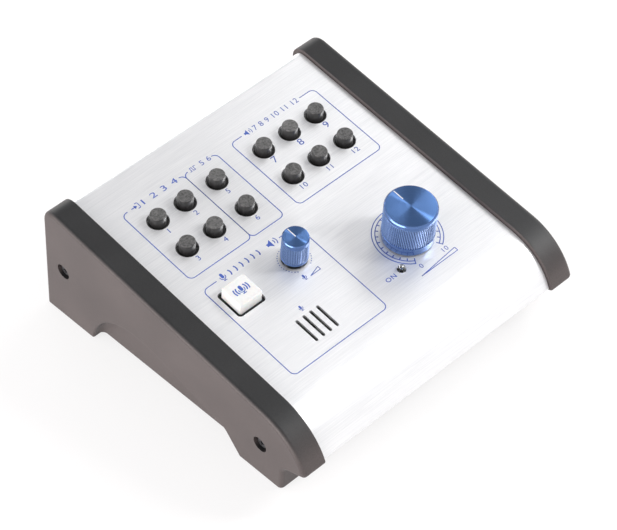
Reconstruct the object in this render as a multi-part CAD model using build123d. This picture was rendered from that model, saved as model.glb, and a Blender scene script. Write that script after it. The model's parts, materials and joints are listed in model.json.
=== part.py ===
from build123d import *

import os
from math import cos, radians, sin, sqrt, tan

# A desktop controller for studio monitors: a folded aluminium top panel over a steel tray, between two
# moulded cheeks that carry the whole object on their feet. The buttons, the two knobs and the talkback key
# work on one board that hangs under the panel.
#
# Millimetres, +X to the user's right, +Y to the rear, +Z up. The origin is in the middle of the surface that
# the object stands on. Places on the sloping deck are given as x, s and t: s runs down the slope, towards
# the user, from the rear row of buttons, and t stands up from the top of the panel.

# ---- Deck ----
deck_tilt = 10.0
first_row_y = 37.9
first_row_height = 57.1              # above the undersides of the feet
inner_width = 131.0                  # clear width between the cheeks

# ---- Cheeks ----
cheek_thickness = 12.0
cheek_wall = 2.5
rim_height = 2.1                     # of the cheeks above the panel
rim_bend_radius = 28.0
outer_edge_radius = 2.0
inner_edge_radius = 0.4
bend_start_s = 101.5
bend_sweep = 65.0
cheek_rear_s = -36.2
cheek_rear_radius = 8.0
lip_straight = 2.0
lip_tip_radius = 2.1
lip_angle = 30.0                     # of the underside of the lip to the deck
lip_root_radius = 5.0
cheek_front_s = 115.1                # front of the front feet
front_foot_length = 26.1
front_foot_slope = 54.8
arch_spring_height = 11.2
arch_slope = 16.45
arch_knee_radius = 8.0
arch_edge_radius = 0.8
arch_crown_y = 19.6
arch_crown_front_radius = 56.0
arch_crown_rear_radius = 34.0
arch_relief_depth = 5.2
arch_relief_fillet = 3.0
arch_wall_lift = 0.8                 # of the recessed wall above the undersides of the feet
land_width = 4.0                     # flat land around the hollow of a cheek
rib_thickness = 1.6
rib_spacing = 22.0
rib_count = 7

# ---- Rubber pads ----
pad_radius = 4.0
pad_recess = 1.0
pad_proud = 0.5
pad_edge = 0.2
pad_gap = 0.05

# ---- Top panel ----
panel_thickness = 1.5
panel_side_gap = 0.3                 # groove between the panel and each cheek
panel_rear_s = -33.6
panel_rear_radius = 4.5
rear_flange_depth = 11.0
nose_straight = 1.9
nose_radius = 1.8
return_flange_length = 11.0

# ---- Tray ----
tray_sheet = 1.2
tray_bend_inside = 0.8
tray_front_s = 113.0
tray_floor_lift = 1.0                # of the tray's underside above the undersides of the feet
tray_rear_depth = 5.0                # of the rear wall's top edge below the deck
tray_flange_length = 10.5
seat_gap = 0.1

# ---- Buttons ----
input_inset = 28.55                  # from the left cheek to the middle of the group
digital_inset = 53.95                # from the left cheek
speaker_inset = 35.2                 # from the right cheek to the middle of the group
input_column_count = 2
digital_column_count = 1
speaker_column_count = 3
column_pitch = 15.1
row_pitch = 18.7
row_count = 2
button_hole_radius = 5.0
button_radius = 3.55
button_height = 4.6                  # above the panel
button_edge = 0.35
button_root_radius = 1.2             # where the cap flares out to its flange
button_flange_radius = 5.9
cap_flange = 1.2
button_travel = 1.2
button_stem_radius = 1.6
stem_reach = 3.0                     # of a stem inside its switch at rest
moving_gap = 0.3
running_gap = 0.05
fixed_gap = 0.02

# ---- Talkback key ----
talkback_inset = 21.1                # from the left cheek
talkback_s = 52.45
talkback_hole_side = 15.0
talkback_hole_corner = 1.8
talkback_side = 12.15
talkback_corner = 0.8
talkback_edge = 0.6
talkback_height = 5.3                # above the panel
talkback_wall = 1.2
talkback_roof = 1.8
talkback_flange_side = 17.0
talkback_stem_radius = 2.0
talkback_travel = 1.5
talkback_switch_side = 12.2

# ---- Knobs ----
volume_inset = 35.4                  # from the right cheek
volume_s = 73.7
volume_base_radius = 11.6
volume_grip_radius = 11.35
volume_top_radius = 11.4
volume_top_chamfer = 0.6
volume_pointer_share = 0.55          # of the radius of the knob's top
volume_band_height = 4.2             # plain band below the grip
volume_ring_height = 2.3             # plain ring above the grip
volume_height = 19.2
volume_lift = 0.4                    # of its lower edge above the panel
volume_hole_radius = 5.0
level_inset = 51.05                  # from the left cheek
level_s = 51.8
level_base_radius = 6.04
level_top_radius = 5.75
level_top_chamfer = 0.45
level_height = 13.0
level_lift = 2.0
level_hole_radius = 5.7
knob_wall = 1.3
knob_roof = 1.8
pointer_width = 0.8
pointer_depth = 0.3
pointer_inset = 0.1                  # from the bevel round the knob's top
shaft_radius = 3.0
shaft_flat = 1.0                     # depth of the flat on a shaft
shaft_short = 1.0                    # from the top of a shaft to the roof of its knob
hub_wall = 1.6
hub_lift = 0.6                       # of the hub above the lower edge of its knob
hub_flange = 1.6

# ---- Potentiometers ----
volume_pot_side = 17.0
volume_pot_height = 6.5
volume_collar_radius = 4.6
volume_collar_height = 2.0
level_pot_side = 10.0
level_pot_height = 6.0
level_collar_radius = 4.0
level_collar_height = 1.6
pot_floor = 1.2
pot_corner = 0.8

# ---- Level light and microphone ----
led_inset = 49.85                    # from the right cheek
led_s = 85.0
led_radius = 1.5
led_gap = 0.5
led_proud = 2.5
led_barrel = 4.4
led_flange_radius = 1.9
led_flange = 1.0
led_leg_side = 0.5
led_leg_pitch = 2.0
mic_inset = 35.85                    # from the left cheek
mic_s = 82.3
slot_width = 1.5
slot_length = 13.2
slot_pitch = 3.83
slot_count = 4
boot_side = 16.0
boot_corner = 2.0
boot_mouth_depth = 2.5
boot_wall = 1.2
boot_throat_radius = 3.0
mic_radius = 4.85
mic_height = 4.5

# ---- Board ----
board_thickness = 1.6
board_side_gap = 3.3                 # to the side walls of the tray
board_rear_gap = 1.2                 # to the rear wall of the tray
board_front_s = 99.0
board_corner = 3.0
switch_side = 6.2
switch_height = 6.0
switch_corner = 0.4
standoff_length = 10.5
standoff_flats = 5.0
standoff_bore = 8.0
standoff_side_inset = 4.0            # from the edges of the board
standoff_rear_inset = 8.6
standoff_front_inset = 5.0
standoff_middle_s = 36.0

# ---- Screws ----
screw_radius = 1.5
screw_clearance = 0.2
screw_head_radius = 2.8
screw_head_height = 1.9
screw_head_edge = 0.6
recess_arm = 3.0
recess_width = 0.8
recess_depth = 1.0
board_screw_length = 7.0
case_screw_length = 6.0
case_screw_pitch = 42.0
case_screw_count = 3
rear_screw_depth = 7.6               # below the deck
nose_screw_run = 7.5                 # behind the nose, along the return flange
cheek_screw_length = 14.0
rear_cheek_screw_y = 66.5
rear_cheek_screw_height = 30.7       # above the undersides of the feet
front_cheek_screw_y = -58.4
front_cheek_screw_height = 19.6
cheek_pocket_radius = 3.8
cheek_pocket_depth = 3.0             # from the outer face of a cheek to the seat of a screw
nut_radius = 3.1
nut_height = 2.0

# ---- Rear socket ----
socket_flange_end = 2.905            # from the middle of a jack screw to the end of the flange
socket_flange_height = 12.5
socket_flange = 0.8
socket_flange_corner = 1.5
socket_drop = 0.3                    # of the flange below the board
shell_width = 16.9
shell_height = 8.3
shell_side_angle = 80.0
shell_corner = 2.2
shell_reach = 6.0
shell_wall = 0.4
shell_gap = 0.25
socket_body_width = 19.2
socket_body_height = 10.6
socket_body_depth = 11.0
insert_short = 0.3                   # of the insert's face behind the edge of the shell
contact_pitch = 2.77
contact_row_pitch = 2.84
contact_rows = (5, 4)
contact_radius = 0.55
contact_depth = 4.0
jack_spacing = 24.99
jack_flats = 4.75
jack_length = 4.8
jack_bore_radius = 1.15
jack_bore_depth = 4.5
jack_stud_radius = 1.4
jack_stud_length = 4.5

# ---- Worked out from the sizes above ----
overshoot = 1.0                      # of a cutting tool past the face that it opens
slope = radians(deck_tilt)
feet_z = pad_proud
first_row_z = feet_z + first_row_height
floor_z = feet_z + tray_floor_lift
inner_half = inner_width / 2
outer_half = inner_half + cheek_thickness
panel_bend_radius = rim_bend_radius - rim_height
tray_rear_s = panel_rear_s + panel_thickness
board_top = -panel_thickness - standoff_length
board_bottom = board_top - board_thickness
cap_flange_top = -panel_thickness - moving_gap
switch_top = board_top + switch_height
stem_end = switch_top - stem_reach
cap_flange_low = cap_flange_top - cap_flange
cheek_seat = cheek_thickness - cheek_pocket_depth
flat_head_height = screw_head_radius - screw_radius
board_half_width = inner_half - tray_sheet - board_side_gap
board_rear_s = tray_rear_s + tray_sheet + board_rear_gap
standoff_x = board_half_width - standoff_side_inset
standoff_rows = (board_rear_s + standoff_rear_inset, standoff_middle_s, board_front_s - standoff_front_inset)
talkback_x = talkback_inset - inner_half
level_x = level_inset - inner_half
mic_x = mic_inset - inner_half
volume_x = inner_half - volume_inset
led_x = inner_half - led_inset
socket_t = board_bottom - socket_drop - socket_flange_height / 2
socket_flange_width = jack_spacing + 2 * socket_flange_end
deck = Location((0, first_row_y, first_row_z), (deck_tilt, 0, 0))
cheek_screw_places = (
    (rear_cheek_screw_y, rear_cheek_screw_height),
    (front_cheek_screw_y, front_cheek_screw_height),
)


# Evenly spaced places round a middle
def spread(middle, count, pitch):
    return [middle + (place - (count - 1) / 2) * pitch for place in range(count)]


button_columns = {
    "input": spread(input_inset - inner_half, input_column_count, column_pitch),
    "digital": spread(digital_inset - inner_half, digital_column_count, column_pitch),
    "speaker": spread(inner_half - speaker_inset, speaker_column_count, column_pitch),
}
button_rows = [row * row_pitch for row in range(row_count)]
case_screw_columns = spread(0, case_screw_count, case_screw_pitch)


# World y and z of a place on the deck
def deck_point(s, t):
    y = first_row_y - s * cos(slope) - t * sin(slope)
    z = first_row_z - s * sin(slope) + t * cos(slope)
    return (y, z)


# World y and z of the place where the plane s meets the level z
def at_height(s, z):
    t = (z - first_row_z + s * sin(slope)) / cos(slope)
    return deck_point(s, t)


# s and t of the corner that the front bend rounds, for a surface at height t
def bend_corner(t, radius):
    return (bend_start_s + radius * tan(radians(bend_sweep) / 2), t)


# s and t at the end of the straight that follows the front bend
def below_bend(t, radius, straight):
    corner = bend_corner(t, radius)
    run = radius * tan(radians(bend_sweep) / 2) + straight
    return (corner[0] + run * cos(radians(bend_sweep)), t - run * sin(radians(bend_sweep)))


# s and t after a run inward under the lip, and a lift square to it
def under_lip(start, run, lift=0.0):
    angle = radians(lip_angle)
    s = start[0] - run * cos(angle) - lift * sin(angle)
    t = start[1] - run * sin(angle) + lift * cos(angle)
    return (s, t)


# The run under the lip from start to the plane s
def run_to(start, s):
    return (start[0] - s) / cos(radians(lip_angle))


# A closed outline in y and z with rounded corners
def outline(points, corner_radii):
    return make_face(FilletPolyline(*points, radius=corner_radii, close=True))


# An outline given in y and z, made solid from x for a thickness towards +X
def plate(face, x, thickness):
    return Pos(x, 0, 0) * extrude(Plane.YZ * face, thickness)


# A bent sheet. The points run along its outer face, with the material on their left.
def folded_sheet(points, bend_radii, thickness, width):
    outer = Wire(FilletPolyline(*points, radius=bend_radii).edges())
    section = make_face(outer.offset_2d(thickness, side=Side.LEFT, closed=True))
    return extrude(Plane.YZ * section, width / 2, both=True)


def mirrored(shape):
    return mirror(shape, about=Plane.YZ)


# A solid between two heights, from a sketch
def column(sketch, low, high):
    return Pos(0, 0, low) * extrude(sketch, high - low)


# A solid turned about Z from radii and heights
def turned(points):
    return revolve(Plane.XZ * make_face(Polyline(*points, close=True)), Axis.Z)


# Where something stands on the deck
def on_deck(x, s, t=0.0):
    return deck * Pos(x, -s, t)


# A frame on the outside of the tray's rear wall, with +Z out of the wall
def on_rear_wall(x, t):
    return deck * Pos(x, -tray_rear_s, t) * Rot(-90, 0, 0)


# A cross-head screw, with its seat at z = 0 and its shank below
def screw(length):
    head = column(Circle(screw_head_radius), 0, screw_head_height)
    head = fillet(head.edges().group_by(Axis.Z)[-1], screw_head_edge)
    shank = column(Circle(screw_radius - fixed_gap), -length, 0)
    return head + shank - cross_recess(screw_head_height)


# A countersunk screw, with the top of its head at z = 0
def flat_screw(length):
    shank_radius = screw_radius - fixed_gap
    head = (shank_radius + flat_head_height, 0)
    shank = [(shank_radius, -flat_head_height), (shank_radius, -length), (0, -length)]
    return turned([(0, 0), head, *shank]) - cross_recess(0)


# The hole for a countersunk screw in a sheet whose outer face is at z = 0
def countersink(thickness):
    mouth = screw_head_radius + running_gap
    floor = [(mouth - flat_head_height, -flat_head_height), (0, -flat_head_height)]
    sink = turned([(0, overshoot), (mouth, overshoot), (mouth, 0), *floor])
    return sink + column(Circle(screw_radius + screw_clearance), -thickness - overshoot, overshoot)


def cross_recess(top):
    cross = Rectangle(recess_arm, recess_width) + Rectangle(recess_width, recess_arm)
    return column(cross, top - recess_depth, top)


# ---- Cheeks ----
def cheek_face():
    nose = below_bend(rim_height, rim_bend_radius, lip_straight)
    root = under_lip(nose, run_to(nose, cheek_front_s))
    corners = [
        at_height(cheek_rear_s, feet_z),
        deck_point(cheek_rear_s, rim_height),
        deck_point(*bend_corner(rim_height, rim_bend_radius)),
        deck_point(*nose),
        deck_point(*root),
        at_height(cheek_front_s, feet_z),
    ]
    return outline(corners, [0, cheek_rear_radius, rim_bend_radius, lip_tip_radius, lip_root_radius, 0])


# Heights in the arch are above the undersides of the feet
front_foot_end = at_height(cheek_front_s, feet_z)[0] + front_foot_length
arch_knee_y = front_foot_end + arch_spring_height / tan(radians(front_foot_slope))
arch_tangent_y = arch_crown_y - arch_crown_front_radius * sin(radians(arch_slope))
arch_tangent_height = arch_spring_height + (arch_tangent_y - arch_knee_y) * tan(radians(arch_slope))
arch_crown_height = arch_tangent_height + arch_crown_front_radius * (1 - cos(radians(arch_slope)))
arch_low = arch_crown_height - arch_crown_rear_radius
rear_foot_start = arch_crown_y + sqrt(arch_crown_rear_radius**2 - arch_low**2)


# The space between the feet, carried on below them
def arch_face():
    knee = FilletPolyline(
        (front_foot_end + arch_low / tan(radians(front_foot_slope)), arch_low),
        (arch_knee_y, arch_spring_height),
        (arch_tangent_y, arch_tangent_height),
        radius=arch_knee_radius,
    )
    front_centre = (arch_crown_y, arch_crown_height - arch_crown_front_radius)
    front_arc = CenterArc(front_centre, arch_crown_front_radius, 90 + arch_slope, -arch_slope)
    rear_arc = CenterArc((arch_crown_y, arch_low), arch_crown_rear_radius, 90, -90)
    base = Line(rear_arc @ 1, knee @ 0)
    edges = knee.edges() + front_arc.edges() + rear_arc.edges() + base.edges()
    return Pos(0, feet_z) * make_face(edges)


# The side walls of the tray, which close the hollow of each cheek
def tray_side_face():
    top = -panel_thickness - seat_gap
    radius = panel_bend_radius - panel_thickness - seat_gap
    inside = outline(
        [
            at_height(tray_rear_s, floor_z),
            deck_point(tray_rear_s, top),
            deck_point(*bend_corner(top, radius)),
            deck_point(*below_bend(top, radius, first_row_height)),
        ],
        [0, panel_rear_radius - panel_thickness, radius, 0],
    )
    band = make_face(
        Polyline(
            at_height(tray_rear_s, floor_z),
            deck_point(tray_rear_s, 0),
            deck_point(tray_front_s, 0),
            at_height(tray_front_s, floor_z),
            close=True,
        )
    )
    return inside & band


# A frame on the inner face of the right cheek, with +Z out of it, for a screw
def cheek_screw_axis(y, height):
    return Pos(inner_half, y, feet_z + height) * Rot(0, 90, 0)


def cheek_hollow():
    land = offset(tray_side_face(), -land_width)
    relief_inside = cheek_thickness - arch_relief_depth
    low = inner_half - overshoot
    shallow = plate(land, low, overshoot + relief_inside - cheek_wall)
    deep = plate(land - offset(arch_face(), cheek_wall), low, overshoot + cheek_thickness - cheek_wall)
    hollow = shallow + deep
    rib = Box(2 * cheek_thickness, rib_thickness, 2 * first_row_z)
    for y in spread(0, rib_count, rib_spacing):
        hollow -= Pos(inner_half, y, first_row_z / 2) * rib
    boss = Cylinder(cheek_pocket_radius + cheek_wall, 2 * cheek_thickness)
    for y, height in cheek_screw_places:
        hollow -= cheek_screw_axis(y, height) * boss
    return hollow


# The edges of a face square to X, without the lowest one
def upper_edges(face):
    return face.edges().sort_by(Axis.Z)[1:]


def right_cheek():
    block = plate(cheek_face(), inner_half, cheek_thickness)
    block = fillet(upper_edges(block.faces().sort_by(Axis.X)[-1]), outer_edge_radius)
    block = fillet(upper_edges(block.faces().sort_by(Axis.X)[0]), inner_edge_radius)
    relief = plate(arch_face(), outer_half - arch_relief_depth, arch_relief_depth + overshoot)
    relief = fillet(relief.faces().sort_by(Axis.X)[0].edges(), arch_relief_fillet)
    span = 2 * (rear_foot_start - front_foot_end)
    under_wall = Rectangle(span, arch_wall_lift - arch_low)
    under_wall = Pos(arch_crown_y, feet_z + (arch_low + arch_wall_lift) / 2) * under_wall
    strip = plate(arch_face() & under_wall, inner_half - overshoot, cheek_thickness + 2 * overshoot)
    cheek = block - relief
    arch_edges = cheek.faces().sort_by(Axis.X)[-1].edges()
    arch_edges = arch_edges.filter_by_position(Axis.Y, front_foot_end, rear_foot_start)
    arch_edges = arch_edges.filter_by_position(Axis.Z, feet_z, feet_z + arch_crown_height)
    cheek = fillet(arch_edges, arch_edge_radius) - strip - cheek_hollow()
    for y, height in cheek_screw_places:
        axis = cheek_screw_axis(y, height)
        cheek -= axis * column(Circle(screw_radius + screw_clearance), -overshoot, cheek_seat)
        cheek -= axis * column(Circle(cheek_pocket_radius), cheek_seat, cheek_thickness + overshoot)
    for y in pad_places:
        recess = column(Circle(pad_radius + pad_gap), feet_z - overshoot, feet_z + pad_recess)
        cheek -= Pos(pad_x, y, 0) * recess
    return cheek


pad_x = inner_half + (cheek_thickness - outer_edge_radius) / 2
rear_foot_end = at_height(cheek_rear_s, feet_z)[0]
front_foot_start = at_height(cheek_front_s, feet_z)[0]
pad_places = ((front_foot_start + front_foot_end) / 2, (rear_foot_start + rear_foot_end) / 2)


def foot_pads():
    pad = column(Circle(pad_radius), 0, feet_z + pad_recess)
    pad = fillet(pad.edges().group_by(Axis.Z)[0], pad_edge)
    return [Pos(side * pad_x, y, 0) * pad for side in (-1, 1) for y in pad_places]


def right_cheek_screws():
    seated = Pos(0, 0, cheek_seat) * screw(cheek_screw_length)
    return [cheek_screw_axis(*place) * seated for place in cheek_screw_places]


def clinch_nuts():
    nut = column(Circle(nut_radius) - Circle(screw_radius), -tray_sheet - nut_height, -tray_sheet)
    right = [cheek_screw_axis(*place) * nut for place in cheek_screw_places]
    return right + [mirrored(one) for one in right]


# ---- Top panel ----
panel_nose = below_bend(0, panel_bend_radius, nose_straight)
nose_screw = under_lip(panel_nose, nose_screw_run)


# A frame under the return flange, with +Z down and out of it
def under_flange(x):
    return on_deck(x, *nose_screw) * Rot(180 - lip_angle, 0, 0)


# A frame on the outside of the rear flange, with +Z out of it
def on_rear_flange(x):
    return on_rear_wall(x, -rear_screw_depth) * Pos(0, 0, panel_thickness)


def top_panel():
    panel = folded_sheet(
        [
            deck_point(panel_rear_s, -rear_flange_depth),
            deck_point(panel_rear_s, 0),
            deck_point(*bend_corner(0, panel_bend_radius)),
            deck_point(*panel_nose),
            deck_point(*under_lip(panel_nose, return_flange_length)),
        ],
        [panel_rear_radius, panel_bend_radius, nose_radius],
        panel_thickness,
        inner_width - 2 * panel_side_gap,
    )
    openings = [Pos(x, -s) * Circle(button_hole_radius) for x, s in all_buttons()]
    openings.append(Pos(volume_x, -volume_s) * Circle(volume_hole_radius))
    openings.append(Pos(level_x, -level_s) * Circle(level_hole_radius))
    openings.append(Pos(led_x, -led_s) * Circle(led_radius + led_gap))
    key_hole = RectangleRounded(talkback_hole_side, talkback_hole_side, talkback_hole_corner)
    openings.append(Pos(talkback_x, -talkback_s) * key_hole)
    slot = SlotOverall(slot_length, slot_width, rotation=90)
    for x in spread(mic_x, slot_count, slot_pitch):
        openings.append(Pos(x, -mic_s) * slot)
    for opening in openings:
        panel -= deck * column(opening, -panel_thickness - overshoot, overshoot)
    nose_hole = column(Circle(screw_radius + screw_clearance), -panel_thickness - overshoot, overshoot)
    for x in case_screw_columns:
        panel -= on_rear_flange(x) * countersink(panel_thickness)
        panel -= under_flange(x) * nose_hole
    return panel


def all_buttons():
    return [(x, s) for columns in button_columns.values() for s in button_rows for x in columns]


# ---- Tray ----
def base_tray():
    flange_lift = panel_thickness + seat_gap
    lifted_nose = under_lip(panel_nose, 0, flange_lift)
    flange_root = under_lip(lifted_nose, run_to(lifted_nose, tray_front_s))
    strip = folded_sheet(
        [
            deck_point(*under_lip(flange_root, -tray_flange_length)),
            deck_point(*flange_root),
            at_height(tray_front_s, floor_z),
            at_height(tray_rear_s, floor_z),
            deck_point(tray_rear_s, -tray_rear_depth),
        ],
        [tray_bend_inside, tray_bend_inside + tray_sheet, tray_bend_inside + tray_sheet],
        tray_sheet,
        inner_width,
    )
    side = plate(tray_side_face(), inner_half - tray_sheet, tray_sheet)
    tray = strip + side + mirrored(side)
    cross_hole = column(Circle(screw_radius + screw_clearance), -inner_width - overshoot, overshoot)
    for place in cheek_screw_places:
        tray -= cheek_screw_axis(*place) * cross_hole
    rear_hole = column(Circle(screw_radius), -tray_sheet - overshoot, overshoot)
    nose_hole = column(Circle(screw_radius), -flange_lift - tray_sheet - overshoot, 0)
    for x in case_screw_columns:
        tray -= on_rear_wall(x, -rear_screw_depth) * rear_hole
        tray -= under_flange(x) * nose_hole
    socket_cut = shell_face(shell_gap)
    for end in (-1, 1):
        socket_cut += Pos(end * jack_spacing / 2, 0) * Circle(jack_stud_radius + screw_clearance)
    return tray - on_rear_wall(0, socket_t) * column(socket_cut, -tray_sheet - overshoot, overshoot)


def rear_panel_screws():
    return [on_rear_flange(x) * flat_screw(case_screw_length) for x in case_screw_columns]


def front_panel_screws():
    return [under_flange(x) * screw(case_screw_length) for x in case_screw_columns]


# ---- Buttons and their switches ----
def button_cap():
    corners = [
        (0, button_height),
        (button_radius, button_height),
        (button_radius, cap_flange_top),
        (button_flange_radius, cap_flange_top),
        (button_flange_radius, cap_flange_low),
        (button_stem_radius, cap_flange_low),
        (button_stem_radius, stem_end),
        (0, stem_end),
    ]
    section = outline(corners, [0, button_edge, button_root_radius, 0, 0, 0, 0, 0])
    return revolve(Plane.XZ * section, Axis.Z)


# A push switch on the board, with a bore for the stem of its cap and the travel that it allows
def push_switch(side, stem_radius, travel):
    body = column(RectangleRounded(side, side, switch_corner), board_top, switch_top)
    return body - column(Circle(stem_radius + running_gap), stem_end - travel - moving_gap, switch_top)


def button_switches():
    switch = push_switch(switch_side, button_stem_radius, button_travel)
    return [on_deck(x, s) * switch for x, s in all_buttons()]


# The square inside of the white cap, less a gap all round
def talkback_inside(gap):
    inner = talkback_side - 2 * (talkback_wall + gap)
    return Rectangle(inner, inner)


# The white cap of the key, hollow from below
def talkback_cap():
    top_face = RectangleRounded(talkback_side, talkback_side, talkback_corner)
    key = column(top_face, cap_flange_top, talkback_height)
    key = fillet(key.edges().group_by(Axis.Z)[-1], talkback_edge)
    return key - column(talkback_inside(0), cap_flange_top, talkback_height - talkback_roof)


# The carrier of the key: a flange under the panel, a block inside the cap and a stem down into the switch
def talkback_carrier():
    flange = RectangleRounded(talkback_flange_side, talkback_flange_side, talkback_hole_corner)
    block_top = talkback_height - talkback_roof - moving_gap
    carrier = column(flange, cap_flange_low, cap_flange_top)
    carrier += column(talkback_inside(fixed_gap), cap_flange_top, block_top)
    return carrier + column(Circle(talkback_stem_radius), stem_end, cap_flange_low)


# ---- Knobs, hubs and shafts ----
# A round section with one flat
def flatted(radius):
    return Circle(radius) - Pos(0, radius) * Rectangle(2 * radius, 2 * shaft_flat)


# A knob turned from bar, standing on z = 0, with a pointer line cut in its top from a radius outwards
def knob_shell(profile, inner_radius, height, chamfer_size, pointer_start):
    roof = height - knob_roof
    shell = turned([(inner_radius, 0), *profile, (0, height), (0, roof), (inner_radius, roof)])
    shell = chamfer(shell.edges().group_by(Axis.Z)[-1], chamfer_size)
    pointer_end = profile[-1][0] - chamfer_size - pointer_inset
    length = pointer_end - pointer_start
    pointer = Pos(0, pointer_start + length / 2) * Rectangle(pointer_width, length)
    return shell - column(pointer, height - pointer_depth, height)


# The hub that is pressed into a knob and grips its shaft
def knob_hub(inner_radius, height):
    roof = height - knob_roof
    hub = column(Circle(inner_radius - fixed_gap), hub_lift, hub_lift + hub_flange)
    hub += column(Circle(shaft_radius + hub_wall), hub_lift, roof)
    return hub - column(flatted(shaft_radius + fixed_gap), hub_lift, roof)


# A shaft from inside its potentiometer to just under the roof of its knob
def knob_shaft(lift, height):
    low = board_top + pot_floor + moving_gap
    flat_start = lift + hub_lift
    top = lift + height - knob_roof - shaft_short
    return column(Circle(shaft_radius), low, flat_start) + column(flatted(shaft_radius), flat_start, top)


def pot(side, height, collar_radius, collar_height):
    top = board_top + height + collar_height
    body = column(RectangleRounded(side, side, pot_corner), board_top, board_top + height)
    body += column(Circle(collar_radius), board_top, top)
    return body - column(Circle(shaft_radius + running_gap), board_top + pot_floor, top)


def volume_pot():
    return pot(volume_pot_side, volume_pot_height, volume_collar_radius, volume_collar_height)


def level_pot():
    return pot(level_pot_side, level_pot_height, level_collar_radius, level_collar_height)


volume_inner_radius = volume_grip_radius - knob_wall
level_inner_radius = level_top_radius - knob_wall / 2


def volume_knob():
    grip_top = volume_height - volume_ring_height
    profile = [
        (volume_base_radius, 0),
        (volume_base_radius, volume_band_height),
        (volume_grip_radius, volume_band_height),
        (volume_grip_radius, grip_top),
        (volume_top_radius, grip_top),
        (volume_top_radius, volume_height),
    ]
    pointer_start = volume_top_radius * (1 - volume_pointer_share)
    return knob_shell(profile, volume_inner_radius, volume_height, volume_top_chamfer, pointer_start)


def level_knob():
    profile = [(level_base_radius, 0), (level_top_radius, level_height)]
    return knob_shell(profile, level_inner_radius, level_height, level_top_chamfer, 0)


# ---- Level light and microphone ----
def level_led():
    barrel_low = led_proud - led_barrel
    led = column(Circle(led_radius), barrel_low, led_proud - led_radius)
    led += Pos(0, 0, led_proud - led_radius) * Sphere(led_radius)
    led += column(Circle(led_flange_radius), barrel_low - led_flange, barrel_low)
    for side in (-1, 1):
        leg = column(Rectangle(led_leg_side, led_leg_side), board_top, barrel_low - led_flange)
        led += Pos(side * led_leg_pitch / 2, 0, 0) * leg
    return led


def mic_boot():
    top = -panel_thickness - seat_gap
    mouth = boot_side - 2 * boot_wall
    boot = column(RectangleRounded(boot_side, boot_side, boot_corner), board_top, top)
    boot -= column(RectangleRounded(mouth, mouth, boot_corner - boot_wall), top - boot_mouth_depth, top)
    boot -= column(Circle(boot_throat_radius), board_top, top)
    return boot - column(Circle(mic_radius + fixed_gap), board_top, board_top + mic_height)


def mic_capsule():
    return column(Circle(mic_radius), board_top, board_top + mic_height)


# ---- Board ----
def standoff_places():
    return [(side * standoff_x, s) for side in (-1, 1) for s in standoff_rows]


def control_board():
    length = board_front_s - board_rear_s
    middle = (board_front_s + board_rear_s) / 2
    sheet = Pos(0, -middle) * RectangleRounded(2 * board_half_width, length, board_corner)
    for x, s in standoff_places():
        sheet -= Pos(x, -s) * Circle(screw_radius + screw_clearance)
    return column(sheet, board_bottom, board_top)


def board_standoffs():
    post = column(RegularPolygon(standoff_flats / 2, 6, major_radius=False), board_top, -panel_thickness)
    post -= column(Circle(screw_radius), board_top, board_top + standoff_bore)
    return [on_deck(x, s) * post for x, s in standoff_places()]


def board_screws():
    upturned = Rot(180, 0, 0) * screw(board_screw_length)
    return [on_deck(x, s, board_bottom) * upturned for x, s in standoff_places()]


# ---- Rear socket ----
# The D-shaped section of the socket's shell, grown by a margin
def shell_face(margin):
    shape = Trapezoid(shell_width + 2 * margin, shell_height + 2 * margin, shell_side_angle)
    return fillet(shape.vertices(), shell_corner + margin)


def socket_shell():
    back = -tray_sheet - socket_flange
    plate_face = RectangleRounded(socket_flange_width, socket_flange_height, socket_flange_corner)
    for side in (-1, 1):
        plate_face -= Pos(side * jack_spacing / 2, 0) * Circle(jack_stud_radius + fixed_gap)
    front = shell_reach - tray_sheet
    shell = column(plate_face, back, -tray_sheet) + column(shell_face(0), -tray_sheet, front)
    return shell - column(shell_face(-shell_wall), back, front)


# The moulded body, with its contact holes, which sits under the board
def socket_insert():
    back = -tray_sheet - socket_flange
    face_z = shell_reach - tray_sheet - insert_short
    board_rise = socket_t - board_bottom
    body_face = Pos(0, (socket_body_height / 2 + board_rise) / 2) * Rectangle(
        socket_body_width, socket_body_height / 2 - board_rise
    )
    insert = column(body_face, back - socket_body_depth, back)
    insert += column(shell_face(-shell_wall - fixed_gap), back, face_z)
    for y, count in zip(spread(0, len(contact_rows), contact_row_pitch), contact_rows):
        for x in spread(0, count, contact_pitch):
            insert -= Pos(x, y, 0) * column(Circle(contact_radius), face_z - contact_depth, face_z)
    return insert


def jack_screws():
    jack = column(RegularPolygon(jack_flats / 2, 6, major_radius=False), 0, jack_length)
    jack += column(Circle(jack_stud_radius), -jack_stud_length, 0)
    jack -= column(Circle(jack_bore_radius), jack_length - jack_bore_depth, jack_length)
    return [on_rear_wall(side * jack_spacing / 2, socket_t) * jack for side in (-1, 1)]


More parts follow.
